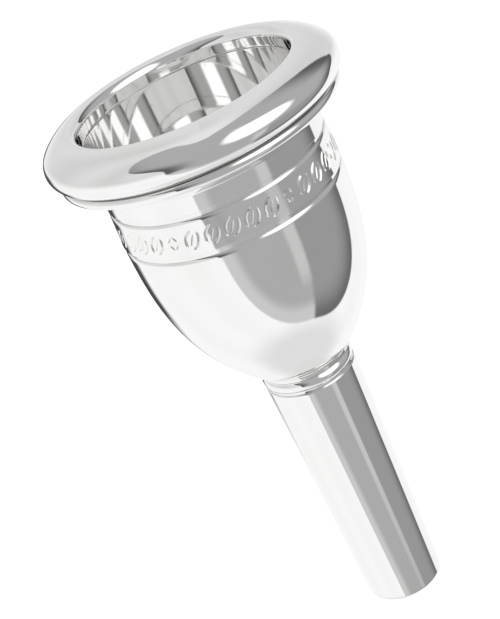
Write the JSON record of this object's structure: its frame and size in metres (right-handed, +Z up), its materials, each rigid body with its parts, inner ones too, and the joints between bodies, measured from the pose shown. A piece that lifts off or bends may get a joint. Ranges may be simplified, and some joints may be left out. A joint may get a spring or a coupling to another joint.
{
  "type": "tuba mouthpiece",
  "caption": "Silver-plated brass-instrument mouthpiece with a screw-on rounded rim, a deep cup with a grooved band, and a tapered screw-in shank.",
  "frame": {"origin": "centre of the shank's open end, on the axis", "axes": "+Z up the axis, from the open end of the shank to the top of the rim; the part is round, so +X and +Y are any two directions square to the axis"},
  "size_m": [0.0464, 0.0464, 0.0959],
  "materials": {
    "silver": "bright silver plate on turned brass, polished",
    "seal": "black rubber, matt"
  },
  "bodies": {
    "shank": {"shank": "silver"},
    "shank_seal": {"shank_seal": "seal"},
    "cup": {"cup": "silver"},
    "rim_seal": {"rim_seal": "seal"},
    "rim": {"rim": "silver"}
  },
  "joints": [
    {"name": "cup_lift", "type": "slide", "parent": "shank", "child": "shank_seal", "axis": [0, 0, 1], "range_m": [0, 0.00651]},
    {"name": "cup_turn", "type": "hinge", "parent": "shank_seal", "child": "cup", "pos_m": [0, 0, 0.0469], "axis": [0, 0, 1], "range_deg": [0, 2340]},
    {"name": "rim_lift", "type": "slide", "parent": "cup", "child": "rim_seal", "axis": [0, 0, 1], "range_m": [0, 0.00321]},
    {"name": "rim_turn", "type": "hinge", "parent": "rim_seal", "child": "rim", "pos_m": [0, 0, 0.08995], "axis": [0, 0, 1], "range_deg": [0, 1440]}
  ],
  "couplings": [
    {"joint": "cup_lift", "follows": "cup_turn", "m_per_rad": 0.00015915},
    {"joint": "rim_lift", "follows": "rim_turn", "m_per_rad": 0.00012732}
  ]
}
